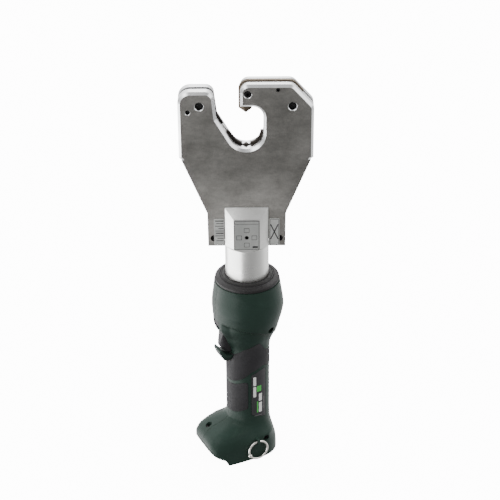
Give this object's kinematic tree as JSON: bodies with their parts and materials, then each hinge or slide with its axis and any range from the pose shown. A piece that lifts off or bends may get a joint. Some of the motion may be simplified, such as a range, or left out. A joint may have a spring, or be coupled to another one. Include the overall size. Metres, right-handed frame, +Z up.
{
  "type": "battery powered in-line crimping tool",
  "caption": "Slim upright hydraulic crimping tool: plate-built open hook head on a bright cylinder that swivels in a dark green grip with trigger, battery foot and lanyard ring.",
  "frame": {"origin": "on the tool's long axis, in the plane of the battery seat: the ceiling of the battery bay in the foot, 14 mm above the ground that the foot stands on", "axes": "+Z up the long axis from the foot to the head, +X towards the closed back of the hook, the head plates' broad faces look along -Y (labelled side) and +Y"},
  "size_m": [0.1278, 0.08, 0.4169],
  "materials": {
    "plate_steel": "dark brushed",
    "hardened_steel": "blackened",
    "bright_steel": "bright turned",
    "plain_steel": "machined",
    "black_steel": "black oxide",
    "label": "printed film",
    "green_plastic": "fine moulded",
    "soft_grip": "soft matte",
    "dark_plastic": "satin moulded",
    "brass": "stamped",
    "board": "coated",
    "rubber": "moulded"
  },
  "bodies": {
    "handle": {"housing_left": "green_plastic", "housing_right": "green_plastic", "grip_pad_upper_left": "soft_grip", "grip_pad_upper_right": "soft_grip", "grip_pad_lower_left": "soft_grip", "grip_pad_lower_right": "soft_grip", "name_plate": "dark_plastic", "bulb_screw": "black_steel", "heel_screw": "black_steel", "toe_screw": "black_steel", "collar_ring": "dark_plastic", "wiper_ring": "rubber", "swivel_plate": "plain_steel", "trigger_switch": "dark_plastic", "motor": "plain_steel", "gearbox_case": "black_steel", "pump_body": "plain_steel", "pump_piston": "bright_steel", "oil_bladder": "rubber", "circuit_board": "board", "terminal_block": "dark_plastic", "terminal_plus": "brass", "terminal_data": "brass", "terminal_minus": "brass"},
    "head": {"head_plate_front": "plate_steel", "head_plate_rear": "plate_steel", "anvil_plate": "hardened_steel", "guide_plate_right": "hardened_steel", "guide_plate_left": "hardened_steel", "guide_plate_upper": "hardened_steel", "pivot_pin_left": "black_steel", "pivot_pin_right": "black_steel", "leg_bolt_left": "black_steel", "leg_bolt_right": "black_steel", "hook_screw": "plain_steel", "hook_dowel": "black_steel", "arm_dowel": "black_steel", "cylinder": "bright_steel", "swivel_clip": "plain_steel", "return_spring": "plain_steel", "label_front": "label", "label_left": "label", "label_right": "label"},
    "ram": {"ram_plate": "plain_steel", "ram_indenter": "hardened_steel", "ram_piston": "bright_steel", "piston_seal": "rubber"},
    "left_lever": {"left_lever": "plain_steel"},
    "right_lever": {"right_lever": "plain_steel"},
    "left_indenter": {"left_indenter": "bright_steel"},
    "right_indenter": {"right_indenter": "bright_steel"},
    "trigger": {"trigger": "dark_plastic"},
    "release_button": {"release_button": "dark_plastic"},
    "motor_shaft": {"motor_shaft": "bright_steel"},
    "eccentric": {"eccentric_shaft": "bright_steel", "eccentric_bearing": "plain_steel"},
    "planet_1": {"planet_gear_1": "plain_steel"},
    "planet_2": {"planet_gear_2": "plain_steel"},
    "planet_3": {"planet_gear_3": "plain_steel"},
    "lanyard_ring": {"lanyard_ring": "bright_steel"}
  },
  "joints": [
    {"name": "head_swivel", "type": "hinge", "parent": "handle", "child": "head", "pos_m": [0, 0, 0.1765], "axis": [0, 0, 1], "range_deg": [-175, 175]},
    {"name": "ram_slide", "type": "slide", "parent": "head", "child": "ram", "axis": [0, 0, 1], "range_m": [0, 0.016], "stiffness_N_per_m": 2000, "springref_m": -0.01, "deforming": ["return_spring"]},
    {"name": "left_lever_turn", "type": "hinge", "parent": "head", "child": "left_lever", "pos_m": [-0.0437, 0, 0.3804], "axis": [0, -1, 0], "range_deg": [0, 22.95]},
    {"name": "right_lever_turn", "type": "hinge", "parent": "head", "child": "right_lever", "pos_m": [0.0437, 0, 0.3804], "axis": [0, 1, 0], "range_deg": [0, 22.95]},
    {"name": "left_indenter_slide", "type": "slide", "parent": "head", "child": "left_indenter", "axis": [1, 0, 0], "range_m": [0, 0.0096]},
    {"name": "right_indenter_slide", "type": "slide", "parent": "head", "child": "right_indenter", "axis": [-1, 0, 0], "range_m": [0, 0.0096]},
    {"name": "trigger_pull", "type": "hinge", "parent": "handle", "child": "trigger", "pos_m": [-0.01843, -0.00899, 0.1365], "axis": [0.4384, -0.8988, 0], "range_deg": [0, 8], "stiffness_Nm_per_rad": 0.3, "springref_deg": -11.46},
    {"name": "release_press", "type": "slide", "parent": "handle", "child": "release_button", "axis": [0.8988, 0.4384, 0], "range_m": [0, 0.003], "stiffness_N_per_m": 800, "springref_m": -0.002},
    {"name": "eccentric_spin", "type": "hinge", "parent": "handle", "child": "eccentric", "pos_m": [0, 0, 0.12], "axis": [0, 0, 1], "continuous": true},
    {"name": "motor_spin", "type": "hinge", "parent": "handle", "child": "motor_shaft", "pos_m": [0, 0, 0.06], "axis": [0, 0, 1], "continuous": true},
    {"name": "planet_1_spin", "type": "hinge", "parent": "eccentric", "child": "planet_1", "pos_m": [-0.00683, -0.00333, 0.0904], "axis": [0, 0, 1], "continuous": true},
    {"name": "planet_2_spin", "type": "hinge", "parent": "eccentric", "child": "planet_2", "pos_m": [0.0063, -0.00425, 0.0904], "axis": [0, 0, 1], "continuous": true},
    {"name": "planet_3_spin", "type": "hinge", "parent": "eccentric", "child": "planet_3", "pos_m": [0.00053, 0.00758, 0.0904], "axis": [0, 0, 1], "continuous": true},
    {"name": "lanyard_swing", "type": "hinge", "parent": "handle", "child": "lanyard_ring", "pos_m": [0.01047, -0.0315, 0.009], "axis": [-0.8988, -0.4384, 0], "range_deg": [0, 160]}
  ],
  "couplings": [
    {"joint": "left_lever_turn", "follows": "ram_slide", "rad_per_m": 25},
    {"joint": "right_lever_turn", "follows": "ram_slide", "rad_per_m": 25},
    {"joint": "left_indenter_slide", "follows": "ram_slide", "ratio": 0.5939},
    {"joint": "right_indenter_slide", "follows": "ram_slide", "ratio": 0.5939},
    {"joint": "motor_spin", "follows": "eccentric_spin", "ratio": 5.14},
    {"joint": "planet_1_spin", "follows": "eccentric_spin", "ratio": -2.64},
    {"joint": "planet_2_spin", "follows": "eccentric_spin", "ratio": -2.64},
    {"joint": "planet_3_spin", "follows": "eccentric_spin", "ratio": -2.64}
  ]
}
